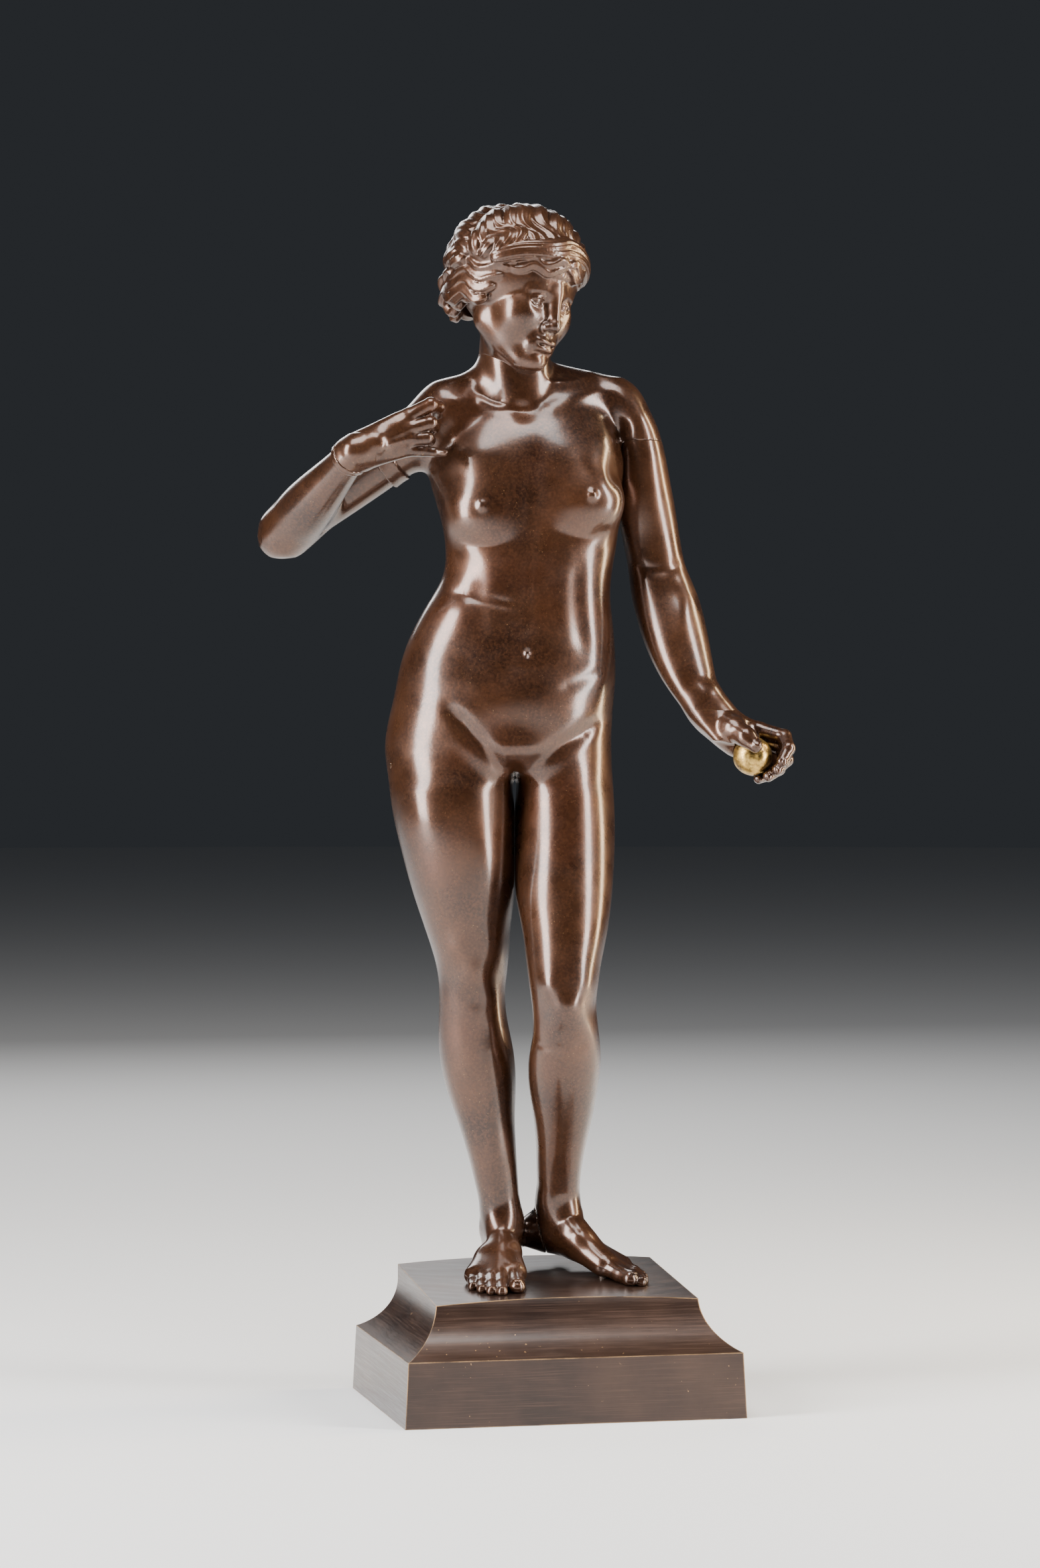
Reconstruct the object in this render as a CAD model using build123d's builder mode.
"""Standing bronze statuette on a moulded plinth, built as its separate castings and fastenings.

Millimetres, +Z up.  The origin is the middle of the plinth's resting rim, the plinth's front
faces -Y and the figure's own right side is towards -X.  The figure is cast in sections: a hollow
trunk, two hollow legs, a head, arms and hands.  Each section ends in a plane joint, where a round
tenon on one casting enters a socket in the next and a cross pin locks it.  The feet stand on the
arched ground on top of the hollow plinth, and studs, washers and nuts draw them down from inside.
"""

import math
import os

from build123d import *

os.makedirs("parts", exist_ok=True)

# Plinth
BASE_WIDTH = 180.0
BASE_DEPTH = 148.0
BLOCK_TOP_WIDTH = 176.5
BLOCK_TOP_DEPTH = 146.5
BLOCK_HEIGHT = 34.0
PLATEAU_WIDTH = 139.0
PLATEAU_DEPTH = 104.0
COVE_TOP = 75.0  # the cove runs on up to here before the arched ground trims it
COVE_RISE = 28.0
COVE_START_ANGLE = 28.0
COVE_STEPS = 5
PLINTH_WALL = 5.0
GROUND_ARCH = 900.0  # radius of the arched ground that the feet stand on
GROUND_SLOPE = 5.1  # degrees that the ground rises towards the back
GROUND_MIDDLE = 67.3  # height of the ground over the origin
GROUND_REACH = 110.0  # half size of the block that cuts the ground's shape

# Figure
LEG_WALL = 4.0
LEG_CORE_INSET = 6.0
HIP_HEIGHT = 334.0
HIP_FLOOR = 6.0
HIP_RIM = 2.0  # how far the hip floors run into the walls round them
HIP_PIN_HEIGHT = 337.0
NECK_HEIGHT = 554.0
LEFT_SHOULDER_HEIGHT = 508.0

# Fastenings
PIN_RADIUS = 1.5
WRIST_PIN_RADIUS = 1.0
STUD_RADIUS = 2.0
STUD_CLEARANCE = 0.25
STUD_TAIL = 2.0  # end of a stud below its nut
BOSS_RADIUS = 9.0
BOSS_FACE = 50.0
BOSS_REACH = 30.0  # from the boss face up past the ground
WASHER_RADIUS = 5.0
WASHER_THICKNESS = 1.0
WASHER_CLEARANCE = 0.15
NUT_ACROSS_FLATS = 7.0
NUT_THICKNESS = 3.2

# Body stations: (x, y, height, half width, half depth) of level oval sections
TRUNK = (
    (-21, 14.0, HIP_HEIGHT, 60.0, 40.0),
    (-21.5, 14.5, 356, 60.5, 42.0),
    (-18.5, 13.0, 382, 58.0, 38.5),
    (-15.5, 9.0, 410, 52.5, 33.0),
    (-8.5, 8.0, 436, 45.0, 29.5),
    (-7, 8.0, 466, 46.5, 34.5),
    (-9, 9.0, 488, 46.5, 35.0),
    (-12, 11.0, 507, 46.0, 30.0),
    (-6, 13.0, 536, 47.0, 18.0),
)
TRUNK_CORE = (
    (-21, 14.0, HIP_HEIGHT, 55.0, 35.0),
    (-20, 13.5, 372, 54.0, 35.0),
    (-12, 9.0, 424, 43.0, 26.0),
    (-9, 9.0, 480, 40.0, 28.0),
    (-9, 12.0, 526, 38.0, 16.0),
)
NECK = (-14.5, 11.0, NECK_HEIGHT, 18.5, 18.5)
COLLAR_RODS = (  # the slope of the shoulders on each side of the neck: ends and radii
    ((-14.5, 11, 538), (-14.5, 11, 556), 17.5, 17.5),
    ((-8, 12, 533), (34, 12, 533.5), 15.0, 11.5),
    ((-20, 13, 533), (-53.4, 17.9, 518), 15.0, 16.5),
)
SHOULDER_CAP = ((34, 12, 533.5), (50.3, 7.5, 512), 11.5, 13.8)  # a rod: top, foot and their radii
RIGHT_LEG = (
    (-49.2, 15.0, HIP_HEIGHT, 32.2, 35.0),
    (-47.8, 13.8, 312, 30.8, 34.3),
    (-45.8, 13.0, 290, 28.6, 32.2),
    (-42.8, 13.0, 268, 25.8, 29.3),
    (-38.8, 13.8, 246, 21.6, 24.3),
    (-36.9, 12.8, 224, 18.1, 20.5),
    (-35.6, 17.5, 202, 17.9, 19.5),
    (-32.6, 20.3, 180, 19.9, 21.4),
    (-29.2, 21.3, 158, 17.0, 19.0),
    (-25.4, 21.4, 136, 13.6, 15.3),
    (-22.1, 21.7, 114, 11.5, 13.0),
    (-19.8, 22.8, 92, 11.2, 13.0),
)
LEFT_LEG = (
    (12.6, 13.5, HIP_HEIGHT, 27.5, 35.0),
    (12.2, 5.5, 312, 27.0, 33.3),
    (11.2, -2.0, 290, 26.0, 31.5),
    (9.7, -9.5, 268, 24.3, 29.3),
    (6.5, -17.0, 246, 21.5, 25.6),
    (4.5, -22.3, 224, 18.1, 22.8),
    (6.0, -19.5, 202, 16.8, 22.0),
    (8.2, -8.0, 180, 19.2, 23.0),
    (10.0, 1.8, 158, 16.8, 19.5),
    (10.8, 10.8, 136, 13.2, 15.8),
    (10.5, 18.8, 114, 11.1, 13.0),
    (9.8, 24.0, 92, 11.0, 12.8),
)
LEG_CORE = slice(0, 9)  # the leg stations that the hollow runs through
LEFT_ARM = (
    (50.3, 7.5, LEFT_SHOULDER_HEIGHT, 13.2, 13.2),
    (54.0, 7.0, 490, 13.2, 15.0),
    (56.8, 7.0, 472, 14.5, 16.0),
    (59.5, 7.0, 454, 14.8, 15.2),
    (63.0, 6.0, 436, 16.0, 15.5),
    (66.0, 2.0, 420, 17.5, 16.5),
    (69.2, -6.5, 402, 16.5, 16.0),
    (73.0, -16.5, 384, 13.6, 14.2),
    (80.2, -27.5, 366, 10.2, 11.0),
)
LEFT_WRIST_HEIGHT = 366.0

# Right arm, bent up to the shoulder
RIGHT_SHOULDER = Vector(-53.4, 17.9, 518)
RIGHT_ELBOW = Vector(-129.5, 49.0, 461.5)
RIGHT_WRIST = Vector(-106.0, -11.0, 498)
STUMP_LENGTH = 24.0
ARMLET_START = 30.0
ARMLET_END = 39.0
ARMLET_RADIUS = 15.6
ELBOW_RADIUS = 16.2
WRIST_RIM_LENGTH = 3.5
WRIST_RIM_RADIUS = 11.0
UPPER_ARM_RADII = ((39, 13.6), (60, 13.5), (80, 12.8), (98, 13.0))  # (distance, radius) from the shoulder
FOREARM_RADII = ((0, 13.8), (16, 14.4), (34, 13.4), (54, 11.0), (74, 9.4))  # from the elbow

# Tenons: radius and length
NECK_TENON = (9.0, 16.0)
HIP_TENON = (18.0, 10.0)
ARM_TENON = (7.0, 12.0)
WRIST_TENON = (4.5, 8.0)

# Feet: each chain runs from the ankle over the ball of the foot to a toe, as ((x, y, z), radius)
RIGHT_FOOT_CHAINS = (
    (((-18.5, 20, 82), 10.5), ((-16.5, 34, 77), 9.5)),
    (((-18.5, 18, 80), 10.5), ((-21.5, -18, 68.5), 6.2), ((-23.0, -37, 66), 4.6)),
    (((-19.0, 18, 82), 10.5), ((-28.5, -22, 68), 5.2), ((-30.0, -39, 65), 3.3)),
    (((-20.0, 18, 80), 10.5), ((-34.0, -20, 68), 4.8), ((-35.5, -35, 65.5), 3.1)),
    (((-20.5, 18, 80), 10.0), ((-38.0, -16, 68), 4.4), ((-40.0, -29, 66), 3.0)),
    (((-21.0, 20, 79), 9.5), ((-40.5, -9, 69), 4.2), ((-43.0, -22, 67), 2.9)),
)
LEFT_FOOT_CHAINS = (
    (((9.5, 22, 92), 10.0), ((3.0, 33, 89), 9.0)),
    (((10.0, 20, 90), 10.0), ((28.5, -10, 72), 6.2), ((38.5, -27, 68.5), 4.6)),
    (((11.0, 20, 91), 10.0), ((35.0, -12, 72), 5.2), ((44.5, -26, 68), 3.3)),
    (((11.5, 21, 90), 10.0), ((39.5, -8, 72), 4.8), ((48.5, -20, 68.5), 3.1)),
    (((12.0, 22, 90), 9.5), ((42.5, -3, 72.5), 4.4), ((50.5, -14, 69), 3.0)),
    (((12.0, 24, 90), 9.0), ((43.5, 3, 73), 4.2), ((51.0, -7, 70), 2.9)),
)

# Hands: each finger is a chain of joints (x, y, z) with a radius at each
RIGHT_HAND_CHAINS = (
    (
        ((-105, -12, 501), 6.5),
        ((-76.5, -17, 518), 4.6),
        ((-64.5, -19.5, 523), 4.0),
        ((-60.5, -9.5, 519.5), 3.2),
    ),
    (
        ((-104, -12.5, 498.5), 6.5),
        ((-75.5, -18.7, 513), 4.8),
        ((-65.5, -19.3, 515.5), 4.0),
        ((-63.3, -9, 513), 3.2),
    ),
    (
        ((-103, -12, 496), 6.5),
        ((-75.7, -18.1, 507.5), 4.6),
        ((-68, -17.8, 508.5), 3.8),
        ((-66.3, -8.5, 508), 3.0),
    ),
    (
        ((-102, -11.5, 494), 6.0),
        ((-78, -15.5, 502.5), 4.4),
        ((-69, -16.5, 502.5), 3.4),
        ((-61.5, -15.8, 503.5), 2.6),
    ),
    (((-103, -8, 501), 5.5), ((-88, -7, 510), 5.0), ((-75, -5.5, 514), 4.0)),
)
LEFT_HAND_CHAINS = (
    (
        ((84, -31.5, 361), 6.5),
        ((107, -33.5, 356), 4.6),
        ((118.5, -44, 352.5), 4.0),
        ((113.5, -52, 344), 3.4),
    ),
    (
        ((84, -30.5, 359), 6.5),
        ((109, -30, 350.5), 4.8),
        ((119, -40.5, 346), 4.0),
        ((112, -50, 337.5), 3.4),
    ),
    (
        ((84, -29, 357), 6.5),
        ((107.5, -27, 345), 4.6),
        ((116.5, -37, 340.5), 3.9),
        ((108, -46.5, 332), 3.2),
    ),
    (
        ((84, -28, 355), 6.0),
        ((104, -25.5, 340.5), 4.4),
        ((112, -33.5, 336.5), 3.6),
        ((104.5, -42, 331), 3.0),
    ),
    (((86, -34, 359), 5.5), ((93, -47.5, 354), 4.6), ((101, -56.5, 347), 3.8)),
)
APPLE_CENTRE = Vector(101, -43, 342)
APPLE_RADIUS = 10.5

STUD_PLACES = {  # (x, y) of each stud and the height its top reaches in the foot
    "right_heel": (-18.0, 28.0, 84.0),
    "right_ball": (-28.0, -12.0, 74.0),
    "left_ball": (29.0, -8.0, 77.0),
}


def level_ovals(stations, inset=0.0):
    """Level oval faces at the given body stations, each drawn in by the inset."""
    faces = []
    for x, y, height, half_width, half_depth in stations:
        with BuildSketch(Plane((x, y, height))) as oval:
            Ellipse(half_width - inset, half_depth - inset)
        faces.append(oval.sketch)
    return faces


def rounds_along(start, end, radii):
    """Round faces square to the line from start to end, at (distance, radius) pairs."""
    along = (end - start).normalized()
    faces = []
    for distance, radius in radii:
        with BuildSketch(Plane(start + along * distance, z_dir=along)) as ring:
            Circle(radius)
        faces.append(ring.sketch)
    return faces


def tapered_rod(start, end, start_radius, end_radius):
    """A tapering rod with rounded ends between two points."""
    start = Vector(*start)
    end = Vector(*end)
    length = (end - start).length
    along = Plane(start, z_dir=end - start)
    with BuildPart() as rod:
        with BuildSketch(Plane(start, x_dir=along.x_dir, z_dir=along.x_dir.cross(along.z_dir))):
            with BuildLine():
                RadiusArc((0, -start_radius), (start_radius, 0), -start_radius)
                Line((start_radius, 0), (end_radius, length))
                RadiusArc((end_radius, length), (0, length + end_radius), -end_radius)
                Line((0, length + end_radius), (0, -start_radius))
            make_face()
        revolve(axis=Axis(start, end - start))
    return rod.part


def chain_rods(chain):
    """The rods between the joints of one finger or toe."""
    return [tapered_rod(a, b, ra, rb) for (a, ra), (b, rb) in zip(chain, chain[1:])]


def cross_pin(start, inward, radius, length):
    """A round pin from a point on a casting's skin inwards."""
    with BuildPart() as pin:
        with BuildSketch(Plane(start, z_dir=inward)):
            Circle(radius)
        extrude(amount=length)
    return pin.part


def plinth_outlines(inset=0.0):
    """Rectangles of the block and of the hollow cove above it, each drawn in by the inset."""
    outlines = []
    for step in range(COVE_STEPS + 1):
        angle = math.radians(COVE_START_ANGLE + (90 - COVE_START_ANGLE) * step / COVE_STEPS)
        start = math.radians(COVE_START_ANGLE)
        run = (1 - math.sin(angle)) / (1 - math.sin(start))
        rise = (math.cos(start) - math.cos(angle)) / math.cos(start)
        width = PLATEAU_WIDTH + (BLOCK_TOP_WIDTH - PLATEAU_WIDTH) * run - 2 * inset
        depth = PLATEAU_DEPTH + (BLOCK_TOP_DEPTH - PLATEAU_DEPTH) * run - 2 * inset
        with BuildSketch(Plane.XY.offset(BLOCK_HEIGHT + COVE_RISE * rise)) as outline:
            Rectangle(width, depth)
        outlines.append(outline.sketch)
    return outlines


def block_outlines(inset=0.0):
    """Rectangles of the foot and the top of the plinth's block, drawn in by the inset."""
    outlines = []
    foot = (0, BASE_WIDTH, BASE_DEPTH)
    top = (BLOCK_HEIGHT, BLOCK_TOP_WIDTH, BLOCK_TOP_DEPTH)
    for height, width, depth in (foot, top):
        with BuildSketch(Plane.XY.offset(height)) as outline:
            Rectangle(width - 2 * inset, depth - 2 * inset)
        outlines.append(outline.sketch)
    return outlines


# ---------------------------------------------------------------- joint places
right_arm_line = (RIGHT_ELBOW - RIGHT_SHOULDER).normalized()
right_forearm_line = (RIGHT_WRIST - RIGHT_ELBOW).normalized()
armlet_plane = Plane(RIGHT_SHOULDER + right_arm_line * ARMLET_END, z_dir=right_arm_line)
right_wrist_plane = Plane(RIGHT_WRIST, z_dir=right_forearm_line)
left_shoulder_plane = Plane((LEFT_ARM[0][0], LEFT_ARM[0][1], LEFT_SHOULDER_HEIGHT))
left_wrist_plane = Plane((LEFT_ARM[-1][0], LEFT_ARM[-1][1], LEFT_WRIST_HEIGHT))
neck_plane = Plane(NECK[:3])
right_hip_plane = Plane((RIGHT_LEG[0][0], RIGHT_LEG[0][1], HIP_HEIGHT))
left_hip_plane = Plane((LEFT_LEG[0][0] + 2, LEFT_LEG[0][1], HIP_HEIGHT))

# ---------------------------------------------------------------- ground under the feet
arch_drop = GROUND_ARCH - math.sqrt(GROUND_ARCH**2 - GROUND_REACH**2)
ground_rise = GROUND_REACH * math.tan(math.radians(GROUND_SLOPE))
ground_line = Vector(0, GROUND_REACH, ground_rise).normalized()
ground_end = Plane((0, -GROUND_REACH, GROUND_MIDDLE - ground_rise), x_dir=(-1, 0, 0), z_dir=ground_line)
with BuildPart() as ground:
    with BuildSketch(ground_end):
        with BuildLine():
            ThreePointArc((-GROUND_REACH, -arch_drop), (0, 0), (GROUND_REACH, -arch_drop))
            Polyline(
                (GROUND_REACH, -arch_drop),
                (GROUND_REACH, -GROUND_REACH),
                (-GROUND_REACH, -GROUND_REACH),
                (-GROUND_REACH, -arch_drop),
            )
        make_face()
    extrude(amount=2 * GROUND_REACH + 10)

# ---------------------------------------------------------------- left shoulder cap
with BuildPart() as shoulder_cap:
    add(tapered_rod(*SHOULDER_CAP))
    split(bisect_by=left_shoulder_plane, keep=Keep.TOP)

# ---------------------------------------------------------------- pins
with BuildPart() as neck_pin:
    add(cross_pin((NECK[0], NECK[1] + NECK[3], 544), (0, -1, 0), PIN_RADIUS, NECK[3] - 2))
neck_pin.part.label = "neck_pin"

with BuildPart() as right_hip_pin:
    add(cross_pin((TRUNK[0][0] - TRUNK[0][3], TRUNK[0][1], HIP_PIN_HEIGHT), (1, 0, 0), PIN_RADIUS, 18))
right_hip_pin.part.label = "right_hip_pin"

with BuildPart() as left_hip_pin:
    add(cross_pin((TRUNK[0][0] + TRUNK[0][3], TRUNK[0][1], HIP_PIN_HEIGHT), (-1, 0, 0), PIN_RADIUS, 10))
left_hip_pin.part.label = "left_hip_pin"

with BuildPart() as left_shoulder_pin:
    add(cross_pin((72, LEFT_ARM[0][1], LEFT_SHOULDER_HEIGHT + 6), (-1, 0, 0), PIN_RADIUS, 22))
    add(shoulder_cap.part, mode=Mode.INTERSECT)
left_shoulder_pin.part.label = "left_shoulder_pin"

armlet_pin_plane = Plane(armlet_plane.origin - right_arm_line * 5, z_dir=armlet_plane.y_dir)
with BuildPart() as right_arm_pin:
    with BuildSketch(armlet_pin_plane):
        Circle(PIN_RADIUS)
    extrude(amount=ARMLET_RADIUS + 5)
    with BuildSketch(Plane(armlet_plane.origin, z_dir=-right_arm_line)):
        Circle(ARMLET_RADIUS)
    extrude(amount=ARMLET_END - ARMLET_START, mode=Mode.INTERSECT)
right_arm_pin.part.label = "right_arm_pin"

wrist_pin_plane = Plane(RIGHT_WRIST - right_forearm_line * 2, z_dir=right_wrist_plane.y_dir)
with BuildPart() as right_wrist_pin:
    with BuildSketch(wrist_pin_plane):
        Circle(WRIST_PIN_RADIUS)
    extrude(amount=WRIST_RIM_RADIUS + 5)
    with BuildSketch(Plane(RIGHT_WRIST, z_dir=-right_forearm_line)):
        Circle(WRIST_RIM_RADIUS)
    extrude(amount=WRIST_RIM_LENGTH, mode=Mode.INTERSECT)
right_wrist_pin.part.label = "right_wrist_pin"

with BuildPart() as left_wrist_pin:
    add(cross_pin((95, LEFT_ARM[-1][1], LEFT_WRIST_HEIGHT + 4), (-1, 0, 0), WRIST_PIN_RADIUS, 14.5))
    loft(level_ovals(LEFT_ARM), mode=Mode.INTERSECT)
left_wrist_pin.part.label = "left_wrist_pin"

# ---------------------------------------------------------------- trunk
collar_rods = [tapered_rod(*rod) for rod in COLLAR_RODS]
with BuildPart() as torso:
    loft(level_ovals(TRUNK))
    add(collar_rods)
    loft(level_ovals(TRUNK_CORE), mode=Mode.SUBTRACT)
    with BuildSketch(Plane(TRUNK[0][:3])):
        Ellipse(TRUNK_CORE[0][3] + HIP_RIM, TRUNK_CORE[0][4] + HIP_RIM)
    extrude(amount=HIP_FLOOR)
    add(shoulder_cap.part)
    add(tapered_rod(RIGHT_SHOULDER, RIGHT_SHOULDER + right_arm_line * STUMP_LENGTH, 16.5, 13.0))
    with BuildSketch(Plane(armlet_plane.origin, z_dir=-right_arm_line)):
        Circle(ARMLET_RADIUS)
    extrude(amount=ARMLET_END - ARMLET_START)
    split(bisect_by=neck_plane, keep=Keep.BOTTOM)
    # sockets for the neck, the arms and the legs
    with BuildSketch(neck_plane):
        Circle(NECK_TENON[0])
    extrude(amount=-NECK_TENON[1] - 12, mode=Mode.SUBTRACT)
    with BuildSketch(left_shoulder_plane):
        Circle(ARM_TENON[0])
    extrude(amount=ARM_TENON[1], mode=Mode.SUBTRACT)
    with BuildSketch(armlet_plane):
        Circle(ARM_TENON[0])
    extrude(amount=-ARM_TENON[1], mode=Mode.SUBTRACT)
    for hip in (right_hip_plane, left_hip_plane):
        with BuildSketch(hip):
            Circle(HIP_TENON[0])
        extrude(amount=HIP_FLOOR, mode=Mode.SUBTRACT)
    for pin in (neck_pin, right_hip_pin, left_hip_pin, left_shoulder_pin, right_arm_pin):
        add(pin.part, mode=Mode.SUBTRACT)
torso.part.label = "torso"

# ---------------------------------------------------------------- legs
right_foot_rods = [rod for chain in RIGHT_FOOT_CHAINS for rod in chain_rods(chain)]
left_foot_rods = [rod for chain in LEFT_FOOT_CHAINS for rod in chain_rods(chain)]


def leg_studs(names):
    """The bores for a foot's studs, up from under the sole."""
    bores = []
    for name in names:
        x, y, top = STUD_PLACES[name]
        with BuildPart() as bore:
            with BuildSketch(Plane((x, y, BOSS_FACE))):
                Circle(STUD_RADIUS)
            extrude(amount=top - BOSS_FACE)
        bores.append(bore.part)
    return bores


right_bores = leg_studs(("right_heel", "right_ball"))
left_bores = leg_studs(("left_ball",))

with BuildPart() as right_leg:
    loft(level_ovals(RIGHT_LEG))
    add(right_foot_rods)
    loft(level_ovals(RIGHT_LEG[LEG_CORE], LEG_CORE_INSET), mode=Mode.SUBTRACT)
    with BuildSketch(Plane(RIGHT_LEG[0][:3])):
        Ellipse(RIGHT_LEG[0][3] - HIP_RIM, RIGHT_LEG[0][4] - HIP_RIM)
    extrude(amount=-HIP_FLOOR)
    with BuildSketch(right_hip_plane):
        Circle(HIP_TENON[0])
    extrude(amount=HIP_TENON[1])
    with BuildSketch(right_hip_plane.offset(HIP_TENON[1])):
        Circle(HIP_TENON[0] - LEG_WALL)
    extrude(amount=-HIP_TENON[1] - HIP_FLOOR, mode=Mode.SUBTRACT)
    add(ground.part, mode=Mode.SUBTRACT)
    add(right_bores, mode=Mode.SUBTRACT)
    add(right_hip_pin.part, mode=Mode.SUBTRACT)
right_leg.part.label = "right_leg"

with BuildPart() as left_leg:
    loft(level_ovals(LEFT_LEG))
    add(left_foot_rods)
    loft(level_ovals(LEFT_LEG[LEG_CORE], LEG_CORE_INSET), mode=Mode.SUBTRACT)
    with BuildSketch(Plane(LEFT_LEG[0][:3])):
        Ellipse(LEFT_LEG[0][3] - HIP_RIM, LEFT_LEG[0][4] - HIP_RIM)
    extrude(amount=-HIP_FLOOR)
    with BuildSketch(left_hip_plane):
        Circle(HIP_TENON[0])
    extrude(amount=HIP_TENON[1])
    with BuildSketch(left_hip_plane.offset(HIP_TENON[1])):
        Circle(HIP_TENON[0] - LEG_WALL)
    extrude(amount=-HIP_TENON[1] - HIP_FLOOR, mode=Mode.SUBTRACT)
    add(ground.part, mode=Mode.SUBTRACT)
    add(left_bores, mode=Mode.SUBTRACT)
    add(left_hip_pin.part, mode=Mode.SUBTRACT)
left_leg.part.label = "left_leg"

# ---------------------------------------------------------------- head
HEAD_CENTRE = Vector(-15.5, 1.0, 588)
HEAD_UP = Vector(0.02, 0.25, 1).normalized()  # the crown leans back a little over the bowed face
HEAD_FRONT = Vector(0.48, -0.83, -0.28)
face = tapered_rod(
    HEAD_CENTRE + HEAD_FRONT * 23 - HEAD_UP * 23, HEAD_CENTRE + HEAD_FRONT * 7 + HEAD_UP * 2, 13.0, 27.0
)
hair = tapered_rod(HEAD_CENTRE - HEAD_FRONT * 3 + HEAD_UP * 4, HEAD_CENTRE + HEAD_UP * 10.2, 35.5, 36.0)
nose = tapered_rod(
    HEAD_CENTRE + HEAD_FRONT * 33 - HEAD_UP * 3, HEAD_CENTRE + HEAD_FRONT * 38 - HEAD_UP * 13, 2.4, 3.6
)
bun = tapered_rod(
    HEAD_CENTRE - HEAD_FRONT * 27 - HEAD_UP * 12, HEAD_CENTRE - HEAD_FRONT * 31, 10.0, 8.0
)

with BuildPart() as head:
    loft(level_ovals((NECK, (-15.5, 9.5, 564, 17.5, 17.5), (-16, 7.5, 576, 19.5, 20.0))))
    add([face, hair, nose, bun])
    with BuildSketch(neck_plane):
        Circle(NECK_TENON[0])
    extrude(amount=-NECK_TENON[1])
    add(neck_pin.part, mode=Mode.SUBTRACT)
head.part.label = "head"

# ---------------------------------------------------------------- right arm and hand
with BuildPart() as right_forearm:
    loft(rounds_along(RIGHT_SHOULDER, RIGHT_ELBOW, UPPER_ARM_RADII))
    with Locations(RIGHT_ELBOW):
        Sphere(ELBOW_RADIUS)
    loft(rounds_along(RIGHT_ELBOW, RIGHT_WRIST, FOREARM_RADII))
    split(bisect_by=Plane(RIGHT_WRIST, z_dir=-right_forearm_line), keep=Keep.TOP)
    with BuildSketch(Plane(RIGHT_WRIST, z_dir=-right_forearm_line)):
        Circle(WRIST_RIM_RADIUS)
    extrude(amount=WRIST_RIM_LENGTH)
    with BuildSketch(armlet_plane):
        Circle(ARM_TENON[0])
    extrude(amount=-ARM_TENON[1])
    with BuildSketch(right_wrist_plane):
        Circle(WRIST_TENON[0])
    extrude(amount=-WRIST_TENON[1], mode=Mode.SUBTRACT)
    add(right_arm_pin.part, mode=Mode.SUBTRACT)
    add(right_wrist_pin.part, mode=Mode.SUBTRACT)
right_forearm.part.label = "right_forearm"

right_hand_rods = [rod for chain in RIGHT_HAND_CHAINS for rod in chain_rods(chain)]
with BuildPart() as right_hand:
    add(right_hand_rods)
    loft(rounds_along(RIGHT_WRIST, RIGHT_WRIST + Vector(29, -6, 14), ((0, 9.0), (8, 8.0))))
    split(bisect_by=right_wrist_plane, keep=Keep.TOP)
    with BuildSketch(right_wrist_plane):
        Circle(WRIST_TENON[0])
    extrude(amount=-WRIST_TENON[1])
    add(right_wrist_pin.part, mode=Mode.SUBTRACT)
right_hand.part.label = "right_hand"

# ---------------------------------------------------------------- left arm, hand and apple
with BuildPart() as left_arm:
    loft(level_ovals(LEFT_ARM))
    with BuildSketch(left_shoulder_plane):
        Circle(ARM_TENON[0])
    extrude(amount=ARM_TENON[1])
    with BuildSketch(left_wrist_plane):
        Circle(WRIST_TENON[0])
    extrude(amount=WRIST_TENON[1], mode=Mode.SUBTRACT)
    add(left_shoulder_pin.part, mode=Mode.SUBTRACT)
    add(left_wrist_pin.part, mode=Mode.SUBTRACT)
left_arm.part.label = "left_arm"

apple_pin_axis = (Vector(*LEFT_HAND_CHAINS[1][1][0]) - APPLE_CENTRE).normalized()
with BuildPart() as apple_pin:
    with BuildSketch(Plane(APPLE_CENTRE, z_dir=apple_pin_axis)):
        Circle(WRIST_PIN_RADIUS)
    extrude(amount=APPLE_RADIUS + 4)
apple_pin.part.label = "apple_pin"

left_hand_rods = [rod for chain in LEFT_HAND_CHAINS for rod in chain_rods(chain)]
with BuildPart() as left_hand:
    add(left_hand_rods)
    loft(level_ovals(((82.5, -29.5, 357, 9.5, 10.0), LEFT_ARM[-1])))
    split(bisect_by=left_wrist_plane, keep=Keep.BOTTOM)
    with BuildSketch(left_wrist_plane):
        Circle(WRIST_TENON[0])
    extrude(amount=WRIST_TENON[1])
    add(left_wrist_pin.part, mode=Mode.SUBTRACT)
    with Locations(APPLE_CENTRE):
        Sphere(APPLE_RADIUS, mode=Mode.SUBTRACT)
    add(apple_pin.part, mode=Mode.SUBTRACT)
left_hand.part.label = "left_hand"

with BuildPart() as apple:
    with Locations(APPLE_CENTRE):
        Sphere(APPLE_RADIUS)
    add(apple_pin.part, mode=Mode.SUBTRACT)
apple.part.label = "apple"

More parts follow.
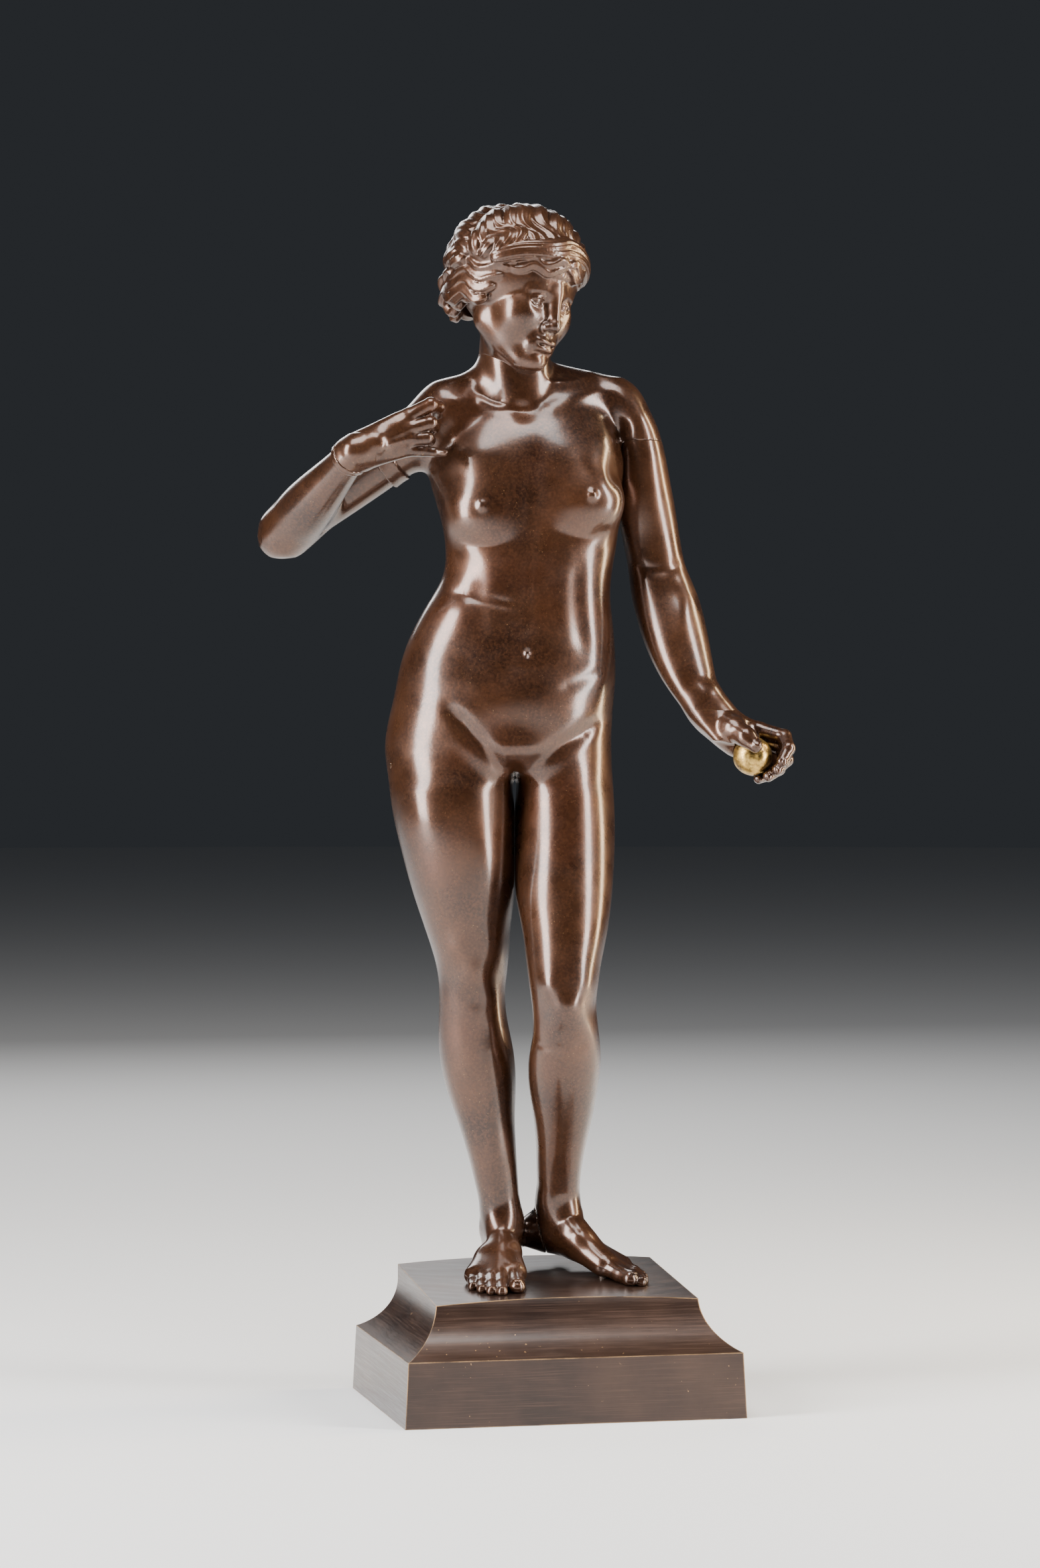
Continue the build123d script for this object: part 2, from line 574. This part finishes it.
# ---------------------------------------------------------------- plinth
with BuildPart() as plinth:
    loft(block_outlines(), ruled=True)
    loft(plinth_outlines())
    with BuildSketch(Plane.XY.offset(BLOCK_HEIGHT + COVE_RISE)):
        Rectangle(PLATEAU_WIDTH, PLATEAU_DEPTH)
    extrude(amount=COVE_TOP - BLOCK_HEIGHT - COVE_RISE)
    add(ground.part, mode=Mode.INTERSECT)
with BuildPart() as hollow:
    loft(block_outlines(PLINTH_WALL), ruled=True)
    loft(plinth_outlines(PLINTH_WALL))
    add(ground.part.moved(Location((0, 0, -PLINTH_WALL))), mode=Mode.INTERSECT)
    for x, y, _ in STUD_PLACES.values():
        with BuildSketch(Plane((x, y, BOSS_FACE))):
            Circle(BOSS_RADIUS)
        extrude(amount=BOSS_REACH, mode=Mode.SUBTRACT)
with BuildPart() as plinth_shell:
    add(plinth.part)
    add(hollow.part, mode=Mode.SUBTRACT)
    for x, y, _ in STUD_PLACES.values():
        with BuildSketch(Plane((x, y, BOSS_FACE))):
            Circle(STUD_RADIUS + STUD_CLEARANCE)
        extrude(amount=BOSS_REACH, mode=Mode.SUBTRACT)
plinth_shell.part.label = "plinth"

# ---------------------------------------------------------------- foot fastenings
with BuildPart() as foot_studs:
    for x, y, top in STUD_PLACES.values():
        foot = BOSS_FACE - WASHER_THICKNESS - NUT_THICKNESS - STUD_TAIL
        with BuildSketch(Plane((x, y, foot))):
            Circle(STUD_RADIUS)
        extrude(amount=top - foot)
foot_studs.part.label = "foot_studs"

with BuildPart() as foot_washers:
    for x, y, _ in STUD_PLACES.values():
        with BuildSketch(Plane((x, y, BOSS_FACE))):
            Circle(WASHER_RADIUS)
            Circle(STUD_RADIUS + WASHER_CLEARANCE, mode=Mode.SUBTRACT)
        extrude(amount=-WASHER_THICKNESS)
foot_washers.part.label = "foot_washers"

with BuildPart() as foot_nuts:
    for x, y, _ in STUD_PLACES.values():
        with BuildSketch(Plane((x, y, BOSS_FACE - WASHER_THICKNESS))):
            RegularPolygon(NUT_ACROSS_FLATS / 2, 6, major_radius=False)
            Circle(STUD_RADIUS, mode=Mode.SUBTRACT)
        extrude(amount=-NUT_THICKNESS)
foot_nuts.part.label = "foot_nuts"

ALL_PIECES = (
    plinth_shell, torso, head, right_leg, left_leg, right_forearm, right_hand, left_arm, left_hand, apple,
    neck_pin, right_hip_pin, left_hip_pin, left_shoulder_pin, right_arm_pin, right_wrist_pin, left_wrist_pin,
    apple_pin, foot_studs, foot_washers, foot_nuts,
)
for piece in ALL_PIECES:
    export_step(piece.part, f"parts/{piece.part.label}.step")
